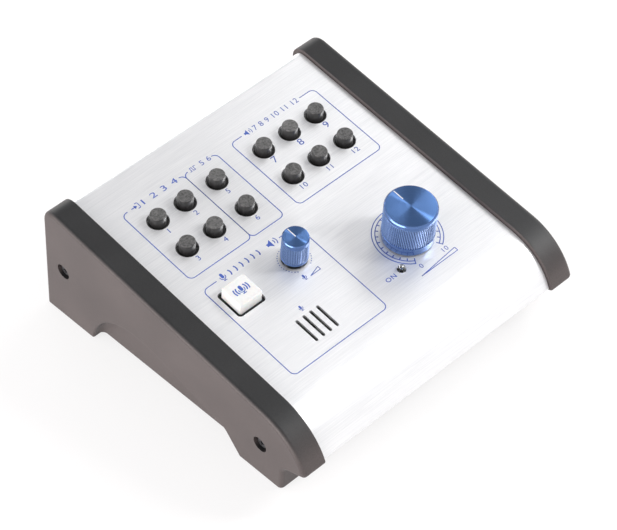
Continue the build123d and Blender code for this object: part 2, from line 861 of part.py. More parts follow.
# ---- All the pieces ----
def pieces():
    cheek = right_cheek()
    cheek_screws = right_cheek_screws()
    volume_place = on_deck(volume_x, volume_s)
    volume_hub = knob_hub(volume_inner_radius, volume_height)
    level_place = on_deck(level_x, level_s)
    level_hub = knob_hub(level_inner_radius, level_height)
    talkback_place = on_deck(talkback_x, talkback_s)
    made = {
        "left_cheek": mirrored(cheek),
        "right_cheek": cheek,
        "foot_pads": foot_pads(),
        "left_cheek_screws": [mirrored(one) for one in cheek_screws],
        "right_cheek_screws": cheek_screws,
        "clinch_nuts": clinch_nuts(),
        "top_panel": top_panel(),
        "base_tray": base_tray(),
        "rear_panel_screws": rear_panel_screws(),
        "front_panel_screws": front_panel_screws(),
        "control_board": deck * control_board(),
        "board_standoffs": board_standoffs(),
        "board_screws": board_screws(),
        "button_switches": button_switches(),
        "talkback_switch": talkback_place
        * push_switch(talkback_switch_side, talkback_stem_radius, talkback_travel),
        "talkback_cap": talkback_place * talkback_cap(),
        "talkback_carrier": talkback_place * talkback_carrier(),
        "volume_pot": volume_place * volume_pot(),
        "volume_shaft": volume_place * knob_shaft(volume_lift, volume_height),
        "volume_knob": volume_place * Pos(0, 0, volume_lift) * volume_knob(),
        "volume_knob_hub": volume_place * Pos(0, 0, volume_lift) * volume_hub,
        "level_pot": level_place * level_pot(),
        "level_shaft": level_place * knob_shaft(level_lift, level_height),
        "level_knob": level_place * Pos(0, 0, level_lift) * level_knob(),
        "level_knob_hub": level_place * Pos(0, 0, level_lift) * level_hub,
        "level_led": on_deck(led_x, led_s) * level_led(),
        "mic_boot": on_deck(mic_x, mic_s) * mic_boot(),
        "mic_capsule": on_deck(mic_x, mic_s) * mic_capsule(),
        "socket_shell": on_rear_wall(0, socket_t) * socket_shell(),
        "socket_insert": on_rear_wall(0, socket_t) * socket_insert(),
        "jack_screws": jack_screws(),
    }
    cap = button_cap()
    for group, columns in button_columns.items():
        places = [(x, s) for s in button_rows for x in columns]
        for number, (x, s) in enumerate(places, start=1):
            made[f"{group}_button_{number}"] = on_deck(x, s) * cap
    return made


os.makedirs("parts", exist_ok=True)
for node, shape in pieces().items():
    solid = Compound(children=shape) if isinstance(shape, list) else shape
    export_step(solid, f"parts/{node}.step")
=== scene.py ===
import json
from math import asin, atan2, cos, degrees, pi, radians, sin, tan

import bmesh
import bpy
from mathutils import Matrix, Vector


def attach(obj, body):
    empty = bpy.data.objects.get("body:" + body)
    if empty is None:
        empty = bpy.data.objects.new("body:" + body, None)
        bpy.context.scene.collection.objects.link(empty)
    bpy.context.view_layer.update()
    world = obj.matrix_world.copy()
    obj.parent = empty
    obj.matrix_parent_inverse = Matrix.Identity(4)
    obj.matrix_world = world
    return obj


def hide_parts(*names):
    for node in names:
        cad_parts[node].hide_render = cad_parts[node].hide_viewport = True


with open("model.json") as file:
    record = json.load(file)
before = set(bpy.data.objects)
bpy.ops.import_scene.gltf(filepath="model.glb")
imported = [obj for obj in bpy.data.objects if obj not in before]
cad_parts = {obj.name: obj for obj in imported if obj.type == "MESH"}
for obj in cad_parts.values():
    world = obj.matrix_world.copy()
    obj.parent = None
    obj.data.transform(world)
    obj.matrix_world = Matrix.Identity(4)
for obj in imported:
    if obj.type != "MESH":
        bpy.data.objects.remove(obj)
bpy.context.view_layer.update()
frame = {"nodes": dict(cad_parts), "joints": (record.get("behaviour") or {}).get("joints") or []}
nodes = frame["nodes"]
joints = {joint["name"]: joint for joint in frame["joints"]}
mm = 0.001


# Lowest and highest corner of a node, measured along a place's own axes
def boxIn(place, node):
    back = place.inverted()
    points = [back @ vertex.co for vertex in nodes[node].data.vertices]
    low = Vector([min(point[axis] for point in points) for axis in range(3)])
    high = Vector([max(point[axis] for point in points) for axis in range(3)])
    return low, high


# The deck's own axes: x to the right, y up the slope, z out of the panel, from the rear row of buttons
def findDeck():
    turn = joints["volume_turn"]
    right = Vector((1, 0, 0))
    out = Vector(turn["axis"]).normalized()
    uphill = out.cross(right)
    foot = Vector(turn["pos_m"])
    foot.x = 0
    place = Matrix.Translation(foot) @ Matrix((right, uphill, out)).transposed().to_4x4()
    low, high = boxIn(place, "input_button_1")
    return place @ Matrix.Translation((0, (low.y + high.y) / 2, 0))


deck = findDeck()


# Where a joint's axis stands on the deck
def jointFoot(joint):
    return deck.inverted() @ Vector(joints[joint]["pos_m"])


# Where a node's middle lies on the deck, in millimetres
def onDeck(node):
    low, high = boxIn(deck, node)
    return (low.x + high.x) / 2 / mm, (low.y + high.y) / 2 / mm


# Links another node's socket to an input, and sets any other kind of value
def feed(tree, node, inputs):
    for name, value in inputs.items():
        if isinstance(value, bpy.types.NodeSocket):
            tree.links.new(value, node.inputs[name])
        else:
            node.inputs[name].default_value = value


def addNode(tree, kind, inputs=None, **settings):
    node = tree.nodes.new(kind)
    for name, value in settings.items():
        setattr(node, name, value)
    feed(tree, node, inputs or {})
    return node


# The first output of a new node
def result(tree, kind, inputs=None, **settings):
    return addNode(tree, kind, inputs, **settings).outputs[0]


def calculate(tree, operation, *terms, **settings):
    return result(tree, "ShaderNodeMath", dict(enumerate(terms)), operation=operation, **settings)


# How far a value lies between two others, from 0 to 1
def between(tree, value, low, high):
    return result(tree, "ShaderNodeMapRange", {"Value": value, "From Min": low, "From Max": high})


def mixColors(tree, share, first, second):
    mix = addNode(tree, "ShaderNodeMix", {"Factor": share, 6: first, 7: second}, data_type="RGBA")
    return mix.outputs[2]


def objectPlace(tree):
    return addNode(tree, "ShaderNodeTexCoord").outputs["Object"]


def grey(value):
    return (value, value, value, 1)


floatSocket = "NodeSocketFloat"
colorSocket = "NodeSocketColor"
materialSocket = "NodeSocketMaterial"
surfaceOutputs = {"Color": colorSocket, "Roughness": floatSocket, "Normal": "NodeSocketVector"}
maskOutput = {"Mask": floatSocket}


# A shader group with the sockets that it is given and the node that ends it
def newGroup(name, inputs, outputs):
    tree = bpy.data.node_groups.new(name, "ShaderNodeTree")
    for label, value in inputs.items():
        kind = colorSocket if isinstance(value, tuple) else floatSocket
        tree.interface.new_socket(label, in_out="INPUT", socket_type=kind).default_value = value
    for label, kind in outputs.items():
        tree.interface.new_socket(label, in_out="OUTPUT", socket_type=kind)
    return tree, tree.nodes.new("NodeGroupInput").outputs, tree.nodes.new("NodeGroupOutput")


# Ends a surface group: one share mixes its colours, one spreads its gloss, and a height gives its relief
def endSurface(tree, given, end, colorShare, glossShare, height, depth):
    centred = calculate(tree, "SUBTRACT", glossShare, 0.5)
    feed(tree, end, {
        "Color": mixColors(tree, colorShare, given["Low"], given["High"]),
        "Roughness": calculate(tree, "MULTIPLY_ADD", centred, given["Spread"], given["Roughness"], use_clamp=True),
        "Normal": result(tree, "ShaderNodeBump", {"Distance": depth, "Strength": given["Relief"], "Height": height}),
    })


def endMask(tree, given, end, share):
    feed(tree, end, {"Mask": calculate(tree, "MULTIPLY", share, given["Amount"], use_clamp=True)})


# Moulded or sprayed grain: a soft speckle in colour and relief, with its size in millimetres
def grainGroup():
    tree, given, end = newGroup("mouldedGrain", {
        "Size": 0.4, "Low": grey(0.04), "High": grey(0.06), "Relief": 0.1, "Roughness": 0.5, "Spread": 0.1,
    }, surfaceOutputs)
    place = objectPlace(tree)
    scale = calculate(tree, "MULTIPLY", calculate(tree, "DIVIDE", 1.0, given["Size"]), 1 / mm)
    fine = result(tree, "ShaderNodeTexNoise", {"Vector": place, "Scale": scale, "Detail": 3.0, "Roughness": 0.6})
    broad = result(tree, "ShaderNodeTexNoise", {"Vector": place, "Scale": 28.0, "Detail": 2.0})
    share = result(tree, "ShaderNodeMix", {"Factor": 0.35, 2: fine, 3: broad}, data_type="FLOAT")
    endSurface(tree, given, end, between(tree, share, 0.35, 0.65), share, fine, 0.05 * mm)
    return tree


# Brushed lines that run along x, on any sheet whose bends lie along x, with their sizes in millimetres
def brushedGroup():
    tree, given, end = newGroup("brushedLines", {
        "Length": 20.0, "Width": 0.12, "Low": (0.70, 0.71, 0.73, 1), "High": (0.86, 0.87, 0.89, 1),
        "Relief": 0.1, "Roughness": 0.35, "Spread": 0.15,
    }, surfaceOutputs)
    along = calculate(tree, "DIVIDE", 1 / mm, given["Length"])
    across = calculate(tree, "DIVIDE", 1 / mm, given["Width"])
    stretch = result(tree, "ShaderNodeCombineXYZ", {"X": along, "Y": across, "Z": across})
    place = result(tree, "ShaderNodeVectorMath", {0: objectPlace(tree), 1: stretch}, operation="MULTIPLY")
    lines = result(tree, "ShaderNodeTexNoise", {"Vector": place, "Scale": 1.0, "Detail": 4.0, "Roughness": 0.65})
    contrast = between(tree, lines, 0.3, 0.7)
    endSurface(tree, given, end, contrast, contrast, lines, 0.02 * mm)
    return tree


# A mask that is bright on outside edges, where handling rubs a finish, and where some looks paint a highlight for the
# light that a rounded edge catches
def edgeWearGroup():
    tree, given, end = newGroup("edgeWearAndHighlight", {"Radius": 0.5, "Amount": 0.5}, maskOutput)
    radius = calculate(tree, "MULTIPLY", given["Radius"], mm)
    bevel = result(tree, "ShaderNodeBevel", {"Radius": radius}, samples=6)
    normal = addNode(tree, "ShaderNodeNewGeometry").outputs["Normal"]
    same = addNode(tree, "ShaderNodeVectorMath", {0: bevel, 1: normal}, operation="DOT_PRODUCT")
    edge = between(tree, same.outputs["Value"], 0.995, 0.9)
    patches = result(tree, "ShaderNodeTexNoise", {"Vector": objectPlace(tree), "Scale": 220.0, "Detail": 3.0})
    endMask(tree, given, end, calculate(tree, "MULTIPLY", edge, patches))
    return tree


# A mask of the faces that look out of the deck, which a look paints in another tone than the sides: painted light and
# shade for how the light falls on those faces
def upperFacesGroup():
    tree, given, end = newGroup("deckFacingShading", {"Amount": 1.0}, maskOutput)
    normal = addNode(tree, "ShaderNodeNewGeometry").outputs["Normal"]
    out = deck.col[2].to_3d()
    same = addNode(tree, "ShaderNodeVectorMath", {0: normal, 1: out}, operation="DOT_PRODUCT")
    endMask(tree, given, end, between(tree, same.outputs["Value"], 0.55, 0.95))
    return tree


mouldedGrain = grainGroup()
deckFacingShading = upperFacesGroup()
brushedLines = brushedGroup()
edgeWearAndHighlight = edgeWearGroup()
print("shader groups made")


# A material with plain values on its Principled shader
def plainMaterial(name, values):
    material = bpy.data.materials.new(name)
    material.use_nodes = True
    shader = material.node_tree.nodes["Principled BSDF"]
    feed(material.node_tree, shader, values)
    return material, shader


def placeGroup(tree, group, values):
    return addNode(tree, "ShaderNodeGroup", values, node_tree=group).outputs


# A grained or brushed finish. Where the look has them, faces that look out of the deck get a painted shading colour,
# and outside edges get a colour that stands for wear and for a painted highlight
def finish(name, group, look):
    material, shader = plainMaterial(name, look.get("values", {}))
    tree = material.node_tree
    surface = placeGroup(tree, group, look["texture"])
    color = surface["Color"]
    if "paintedUpperShading" in look:
        mask = placeGroup(tree, deckFacingShading, {"Amount": 1.0})
        color = mixColors(tree, mask["Mask"], color, placeGroup(tree, group, look["paintedUpperShading"])["Color"])
    if "edge" in look:
        mask = placeGroup(tree, edgeWearAndHighlight, look["edge"])
        color = mixColors(tree, mask["Mask"], color, look["edgeWearAndHighlightColor"])
    feed(tree, shader, {"Base Color": color, "Roughness": surface["Roughness"], "Normal": surface["Normal"]})
    return material


# Painted shading: the cheek's faces that look out of the deck are painted darker than its sides, which are painted
# lighter for the light that falls on them
cheekLook = {
    "texture": {"Size": 0.32, "Low": (0.046, 0.037, 0.036, 1), "High": (0.084, 0.070, 0.068, 1),
                "Relief": 0.6, "Roughness": 0.5, "Spread": 0.25},
    "paintedUpperShading": {"Size": 0.32, "Low": (0.007, 0.007, 0.0075, 1), "High": (0.020, 0.020, 0.021, 1)},
    "values": {"IOR": 1.43},
    # The cheek's edge colour is partly wear and partly a painted highlight
    "edge": {"Radius": 0.8, "Amount": 0.3}, "edgeWearAndHighlightColor": (0.11, 0.10, 0.10, 1),
}
finish("cheekBlack", mouldedGrain, cheekLook)

panelLook = {
    "texture": {"Length": 22.0, "Width": 0.2, "Low": (0.725, 0.73, 0.745, 1), "High": (0.875, 0.875, 0.88, 1),
                "Relief": 0.3, "Roughness": 0.40, "Spread": 0.16},
    "values": {"Metallic": 0.7, "Anisotropic": 0.3},
}
finish("panelAluminium", brushedLines, panelLook)

trayLook = {
    "texture": {"Size": 0.5, "Low": grey(0.030), "High": grey(0.055),
                "Relief": 0.6, "Roughness": 0.55, "Spread": 0.2},
    "edge": {"Radius": 0.4, "Amount": 0.6}, "edgeWearAndHighlightColor": grey(0.22),
}
finish("trayPowder", mouldedGrain, trayLook)

rubberLook = {
    "texture": {"Size": 0.25, "Low": grey(0.020), "High": grey(0.040),
                "Relief": 0.4, "Roughness": 0.72, "Spread": 0.2},
}
finish("blackRubber", mouldedGrain, rubberLook)

# Painted shading: the cap's tops are painted lighter than its dark sides, for how the light falls on them
capLook = {
    "texture": {"Size": 0.7, "Low": grey(0.006), "High": (0.026, 0.025, 0.025, 1),
                "Relief": 0.25, "Roughness": 0.30, "Spread": 0.15},
    "paintedUpperShading": {"Size": 0.9, "Low": grey(0.020), "High": (0.145, 0.143, 0.141, 1)},
    "values": {"IOR": 1.5, "Sheen Weight": 0.3, "Sheen Roughness": 0.3},
    # The cap's lighter top edge is a painted highlight
    "edge": {"Radius": 0.35, "Amount": 0.8}, "edgeWearAndHighlightColor": (0.26, 0.255, 0.25, 1),
}
finish("capRubber", mouldedGrain, capLook)

keyLook = {
    "texture": {"Size": 1.6, "Low": (0.61, 0.61, 0.598, 1), "High": (0.67, 0.67, 0.66, 1),
                "Relief": 0.05, "Roughness": 0.34, "Spread": 0.1},
    "values": {"Subsurface Weight": 0.2, "Subsurface Scale": 0.0008},
}
finish("keyWhite", mouldedGrain, keyLook)

oxideLook = {
    "texture": {"Size": 0.3, "Low": (0.025, 0.025, 0.028, 1), "High": (0.05, 0.05, 0.055, 1),
                "Relief": 0.3, "Roughness": 0.38, "Spread": 0.2},
    "values": {"Metallic": 0.6},
    "edge": {"Radius": 0.25, "Amount": 0.8}, "edgeWearAndHighlightColor": (0.35, 0.35, 0.36, 1),
}
finish("blackOxide", mouldedGrain, oxideLook)

zincLook = {
    "texture": {"Size": 0.8, "Low": (0.48, 0.48, 0.47, 1), "High": (0.66, 0.66, 0.65, 1),
                "Relief": 0.2, "Roughness": 0.36, "Spread": 0.3},
    "values": {"Metallic": 1.0},
}
finish("zincPlate", mouldedGrain, zincLook)

tinLook = {
    "texture": {"Size": 1.2, "Low": (0.60, 0.60, 0.58, 1), "High": (0.74, 0.74, 0.72, 1),
                "Relief": 0.1, "Roughness": 0.22, "Spread": 0.2},
    "values": {"Metallic": 1.0},
}
tinPlate = finish("tinPlate", mouldedGrain, tinLook)

mouldingLook = {
    "texture": {"Size": 0.6, "Low": (0.022, 0.022, 0.024, 1), "High": (0.040, 0.040, 0.044, 1),
                "Relief": 0.2, "Roughness": 0.42, "Spread": 0.2},
}
blackMoulding = finish("blackMoulding", mouldedGrain, mouldingLook)

boardLook = {
    "texture": {"Size": 2.5, "Low": (0.020, 0.110, 0.045, 1), "High": (0.035, 0.170, 0.070, 1),
                "Relief": 0.15, "Roughness": 0.35, "Spread": 0.2},
    "values": {"Coat Weight": 0.3},
}
finish("solderMask", mouldedGrain, boardLook)

inkLook = {
    "texture": {"Size": 0.5, "Low": (0.028, 0.066, 0.300, 1), "High": (0.048, 0.100, 0.380, 1),
                "Relief": 0.1, "Roughness": 0.5, "Spread": 0.1},
}
blueInk = finish("blueInk", mouldedGrain, inkLook)

paintLook = {
    "texture": {"Size": 0.5, "Low": grey(0.60), "High": grey(0.70),
                "Relief": 0.1, "Roughness": 0.5, "Spread": 0.1},
}
pointerWhite = finish("pointerWhite", mouldedGrain, paintLook)


# Blue anodised aluminium with fine turning lines, which follow the piece's own map: u round the axis, v along
# the section. Where a look gives a groove colour, the grooves of a grip are darkened with it, a painted shade for the
# shadow between the flutes.
def anodised(name, look):
    material, shader = plainMaterial(name, look["values"])
    tree = material.node_tree
    turned = result(tree, "ShaderNodeUVMap", uv_map="turned")
    apart = addNode(tree, "ShaderNodeSeparateXYZ", {0: turned}).outputs
    rings = result(tree, "ShaderNodeCombineXYZ", {
        "X": calculate(tree, "MULTIPLY", apart["X"], look["around"]),
        "Y": calculate(tree, "MULTIPLY", apart["Y"], look["outward"]),
    })
    lines = result(tree, "ShaderNodeTexNoise", {"Vector": rings, "Scale": 1.0, "Detail": 3.0, "Roughness": 0.6})
    color = mixColors(tree, lines, look["low"], look["high"])
    if "groove" in look:
        depth = addNode(tree, "ShaderNodeAttribute", attribute_name="groove").outputs["Fac"]
        color = mixColors(tree, depth, color, look["groove"])
    smooth, coarse = look["rough"]
    feed(tree, shader, {
        "Base Color": color,
        "Roughness": result(tree, "ShaderNodeMapRange", {"Value": lines, "To Min": smooth, "To Max": coarse}),
        "Normal": result(tree, "ShaderNodeBump",
                         {"Strength": look["relief"], "Distance": 0.02 * mm, "Height": lines}),
        "Tangent": result(tree, "ShaderNodeTangent", direction_type="UV_MAP", uv_map="turned"),
    })
    return material


# The top, band and grip are one blue anodising in three tones: the grip's lighter colour is painted light and the
# top's darker colour painted shade, for how the light falls on each face; the band's tone lies between
blueTopLook = {
    "values": {"Metallic": 1.0, "Anisotropic": 1.0, "Anisotropic Rotation": 0.25},
    "around": 2.0, "outward": 900.0, "low": (0.064, 0.128, 0.305, 1), "high": (0.124, 0.244, 0.52, 1),
    "rough": (0.31, 0.35), "relief": 0.10,
}
blueTop = anodised("blueTop", blueTopLook)

blueBandLook = {
    "values": {"Metallic": 0.8, "Anisotropic": 0.2},
    "around": 2.0, "outward": 500.0, "low": (0.080, 0.150, 0.34, 1), "high": (0.120, 0.205, 0.44, 1),
    "rough": (0.16, 0.22), "relief": 0.04,
}
blueBand = anodised("blueBand", blueBandLook)

blueGripLook = {
    "values": {"Metallic": 0.7},
    "around": 2.0, "outward": 300.0, "low": (0.17, 0.28, 0.55, 1), "high": (0.24, 0.37, 0.66, 1),
    # The groove colour is painted shade, darkening the grooves between the flutes
    "groove": (0.022, 0.050, 0.15, 1), "rough": (0.20, 0.28), "relief": 0.03,
}
blueGrip = anodised("blueGrip", blueGripLook)

lensLook = {"Base Color": (0.96, 0.97, 1.0, 1), "Roughness": 0.06, "IOR": 1.53, "Transmission Weight": 1.0}
plainMaterial("clearLens", lensLook)

nodeFinish = {
    "cheekBlack": ["left_cheek", "right_cheek"],
    "blackRubber": ["foot_pads", "mic_boot"],
    "blackOxide": ["left_cheek_screws", "right_cheek_screws", "rear_panel_screws", "front_panel_screws"],
    "zincPlate": ["clinch_nuts", "board_standoffs", "board_screws", "volume_pot", "level_pot", "volume_shaft",
                  "level_shaft", "mic_capsule"],
    "panelAluminium": ["top_panel"],
    "trayPowder": ["base_tray"],
    "solderMask": ["control_board"],
    "blackMoulding": ["button_switches", "talkback_switch", "talkback_carrier", "volume_knob_hub",
                      "level_knob_hub", "socket_insert"],
    "keyWhite": ["talkback_cap"],
    "tinPlate": ["socket_shell", "jack_screws"],
    "clearLens": ["level_led"],
    "capRubber": [node for node in nodes if "_button_" in node],
}
for name, members in nodeFinish.items():
    for node in members:
        for slot in nodes[node].material_slots:
            slot.material = bpy.data.materials[name]
print("materials made:", len(bpy.data.materials))


# A geometry tree with the sockets that it is given and the node that ends it
def newTree(name, inputs):
    tree = bpy.data.node_groups.new(name, "GeometryNodeTree")
    tree.interface.new_socket("Geometry", in_out="INPUT", socket_type="NodeSocketGeometry")
    for label, kind in inputs.items():
        tree.interface.new_socket(label, in_out="INPUT", socket_type=kind)
    tree.interface.new_socket("Geometry", in_out="OUTPUT", socket_type="NodeSocketGeometry")
    return tree, tree.nodes.new("NodeGroupInput").outputs, tree.nodes.new("NodeGroupOutput")


# Keeps what a modifier makes as the piece's plain mesh
def keepModified(piece, modifier):
    evaluated = piece.evaluated_get(bpy.context.evaluated_depsgraph_get())
    made = bpy.data.meshes.new_from_object(evaluated)
    piece.modifiers.remove(modifier)
    piece.data = made


def runTree(piece, tree, values):
    modifier = piece.modifiers.new("tree", "NODES")
    modifier.node_group = tree
    names = {item.name: item.identifier for item in tree.interface.items_tree if item.in_out == "INPUT"}
    for label, value in values.items():
        modifier[names[label]] = value
    keepModified(piece, modifier)


def meshFrom(name, work):
    mesh = bpy.data.meshes.new(name)
    work.to_mesh(mesh)
    work.free()
    return mesh


# A plain object from a mesh, with its place put into the mesh
def pieceFrom(name, mesh, place=Matrix.Identity(4)):
    mesh.transform(place)
    mesh.name = name
    piece = bpy.data.objects.new(name, mesh)
    bpy.context.scene.collection.objects.link(piece)
    return piece


# A piece of one material that rides on a body, from closed shapes
def addPiece(name, work, place, body, material):
    bmesh.ops.recalc_face_normals(work, faces=work.faces)
    mesh = meshFrom(name, work)
    mesh.materials.append(material)
    piece = pieceFrom(name, mesh, place)
    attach(piece, body)


# Marks in an arc: small bars that point at the middle, or round dots
def arcMarksTree():
    tree, given, end = newTree("arcMarks", {
        "Count": "NodeSocketInt", "Radius": floatSocket, "First": floatSocket, "Last": floatSocket,
        "Length": floatSocket, "Width": floatSocket, "Thickness": floatSocket, "Round": "NodeSocketBool",
        "Material": materialSocket,
    })
    angle = result(tree, "ShaderNodeMapRange", {
        "Value": result(tree, "GeometryNodeInputIndex"), "From Max": calculate(tree, "SUBTRACT", given["Count"], 1.0),
        "To Min": given["First"], "To Max": given["Last"],
    })
    turn = result(tree, "ShaderNodeCombineXYZ", {"Z": calculate(tree, "MULTIPLY", angle, -1.0)})
    up = result(tree, "ShaderNodeCombineXYZ", {"Y": given["Radius"]})
    around = result(tree, "ShaderNodeVectorRotate", {"Vector": up, "Rotation": turn}, rotation_type="EULER_XYZ")
    points = result(tree, "GeometryNodePoints", {"Count": given["Count"], "Position": around})
    size = {"X": given["Width"], "Y": given["Length"], "Z": given["Thickness"]}
    bar = result(tree, "GeometryNodeMeshCube", {"Size": result(tree, "ShaderNodeCombineXYZ", size)})
    half = calculate(tree, "MULTIPLY", given["Width"], 0.5)
    dot = result(tree, "GeometryNodeMeshCylinder", {"Vertices": 14, "Radius": half, "Depth": given["Thickness"]})
    mark = result(tree, "GeometryNodeSwitch", {"Switch": given["Round"], "False": bar, "True": dot},
                  input_type="GEOMETRY")
    copies = result(tree, "GeometryNodeInstanceOnPoints", {"Points": points, "Instance": mark, "Rotation": turn})
    real = result(tree, "GeometryNodeRealizeInstances", {0: copies})
    paint = result(tree, "GeometryNodeSetMaterial", {"Geometry": real, "Material": given["Material"]})
    feed(tree, end, {"Geometry": paint})
    return tree


# Slanting flutes cut round the grip of a turned knob, and the finishes of its band, grip and top face
def flutesTree():
    tree, given, end = newTree("knobFlutes", {
        "Count": floatSocket, "Depth": floatSocket, "Slant": floatSocket, "Low": floatSocket, "High": floatSocket,
        "Band": materialSocket, "Grip": materialSocket, "Top": materialSocket, "Top From": floatSocket,
    })

    def compare(value, operation, other):
        return result(tree, "FunctionNodeCompare", {0: value, 1: other}, data_type="FLOAT", operation=operation)

    place = result(tree, "GeometryNodeInputPosition")
    x, y, z = addNode(tree, "ShaderNodeSeparateXYZ", {0: place}).outputs
    turns = calculate(tree, "MULTIPLY", calculate(tree, "ARCTAN2", y, x), 1 / pi)
    wave = calculate(tree, "PINGPONG", calculate(tree, "MULTIPLY", turns, given["Count"]), 1.0)
    grooveShadeShare = calculate(tree, "SUBTRACT", 1.0, wave, use_clamp=True)
    outward = result(tree, "ShaderNodeCombineXYZ", {"X": x, "Y": y})
    unit = result(tree, "ShaderNodeVectorMath", {0: outward}, operation="NORMALIZE")
    depth = calculate(tree, "MULTIPLY", wave, given["Depth"])
    push = result(tree, "ShaderNodeVectorMath", {0: unit, "Scale": depth}, operation="SCALE")
    above = compare(z, "GREATER_THAN", given["Low"])
    below = compare(z, "LESS_THAN", given["High"])
    grip = result(tree, "FunctionNodeBooleanMath", {0: above, 1: below}, operation="AND")
    cut = result(tree, "GeometryNodeSetPosition",
                 {"Geometry": given["Geometry"], "Selection": grip, "Offset": push})
    # How deep a point lies in a flute, kept for the painted shade of the grooves
    noted = result(tree, "GeometryNodeStoreNamedAttribute", {"Name": "groove", "Geometry": cut, "Value": grooveShadeShare},
                   data_type="FLOAT", domain="POINT")
    lean = calculate(tree, "MULTIPLY", calculate(tree, "MULTIPLY", z, given["Slant"]), -1.0)
    turned = result(tree, "ShaderNodeVectorRotate", {"Vector": place, "Angle": lean}, rotation_type="Z_AXIS")
    twisted = result(tree, "GeometryNodeSetPosition", {"Geometry": noted, "Position": turned})
    made = result(tree, "GeometryNodeRealizeInstances", {0: twisted})
    onTop = compare(z, "GREATER_THAN", given["Top From"])
    for label, where in (("Band", True), ("Grip", grip), ("Top", onTop)):
        made = result(tree, "GeometryNodeSetMaterial",
                      {"Geometry": made, "Material": given[label], "Selection": where})
    feed(tree, end, {"Geometry": made})
    return tree


arcMarks = arcMarksTree()
knobFlutes = flutesTree()
print("geometry trees made")


# Points of a path with its inner corners rounded
def roundedPath(points, radius, steps=6):
    path = [Vector(points[0])]
    for before, corner, after in zip(points, points[1:], points[2:]):
        corner = Vector(corner)
        toStart = (Vector(before) - corner).normalized()
        toEnd = (Vector(after) - corner).normalized()
        half = toStart.angle(toEnd) / 2
        middle = corner + (toStart + toEnd).normalized() * radius / sin(half)
        reach = radius / tan(half)
        first = corner + toStart * reach - middle
        last = corner + toEnd * reach - middle
        begin = atan2(first.y, first.x)
        sweep = (atan2(last.y, last.x) - begin + pi) % (2 * pi) - pi
        turns = [begin + sweep * step / steps for step in range(steps + 1)]
        path += [middle + radius * Vector((cos(turn), sin(turn))) for turn in turns]
    path.append(Vector(points[-1]))
    return path


# Points of an arc, with its angles clockwise from the top
def arcPath(middle, radius, first, last, steps=10):
    turns = [radians(first + (last - first) * step / steps) for step in range(steps + 1)]
    return [Vector((middle[0] + radius * sin(turn), middle[1] + radius * cos(turn))) for turn in turns]


# All printing lies between these heights over the face it is on, in millimetres
inkLow = 0.004
inkThickness = 0.02
inkHigh = inkLow + inkThickness


# A printed line of one width along a path, as a thin closed strip
def addLine(work, points, width):
    path = [Vector(point) for point in points]
    sides = []
    for place, point in enumerate(path):
        along = (path[min(place + 1, len(path) - 1)] - path[max(place - 1, 0)]).normalized()
        across = Vector((-along.y, along.x)) * width / 2
        ends = (point + across, point - across)
        sides.append([work.verts.new((end.x, end.y, height)) for height in (inkLow, inkHigh) for end in ends])
    for first, second in zip(sides, sides[1:]):
        for a, b in ((0, 1), (1, 3), (3, 2), (2, 0)):
            work.faces.new((first[a], first[b], second[b], second[a]))
    work.faces.new([sides[0][corner] for corner in (0, 2, 3, 1)])
    work.faces.new([sides[-1][corner] for corner in (0, 1, 3, 2)])


# A flat shape with a thickness
def addShape(work, points, low=inkLow, high=inkHigh):
    bottom = [work.verts.new((x, y, low)) for x, y in points]
    top = [work.verts.new((x, y, high)) for x, y in points]
    work.faces.new(bottom[::-1])
    work.faces.new(top)
    for step in range(len(points)):
        after = (step + 1) % len(points)
        work.faces.new((bottom[step], bottom[after], top[after], top[step]))


# A bar along y with rounded ends
def addBar(work, x, start, end, width, low=inkLow, high=inkHigh, steps=8):
    around = []
    for middle, first in ((end - width / 2, 0.0), (start + width / 2, pi)):
        turns = [first + pi * step / steps for step in range(steps + 1)]
        around += [(x + width / 2 * cos(turn), middle + width / 2 * sin(turn)) for turn in turns]
    addShape(work, around, low, high)


letteringLook = {"spacing": 1.1, "stretch": 1.1, "resolution": 4}


# Figures centred on a place and, where a width is given, spread to it
def addFigures(work, words, x, y, size, width=None, bold=0.0):
    curve = bpy.data.curves.new("figures", "FONT")
    curve.body = words
    curve.size = size
    curve.offset = bold
    curve.space_character = letteringLook["spacing"]
    curve.extrude = (inkHigh - inkLow) / 2
    curve.resolution_u = letteringLook["resolution"]
    holder = bpy.data.objects.new("figures", curve)
    mesh = bpy.data.meshes.new_from_object(holder)
    across = [vertex.co.x for vertex in mesh.vertices]
    upward = [vertex.co.y for vertex in mesh.vertices]
    centre = Vector(((min(across) + max(across)) / 2, (min(upward) + max(upward)) / 2, 0))
    stretch = width / (max(across) - min(across)) if width else letteringLook["stretch"]
    place = Matrix.Translation((x, y, (inkLow + inkHigh) / 2)) @ Matrix.Diagonal((stretch, 1, 1, 1))
    mesh.transform(place @ Matrix.Translation(-centre))
    work.from_mesh(mesh)
    bpy.data.objects.remove(holder)
    bpy.data.curves.remove(curve)
    bpy.data.meshes.remove(mesh)


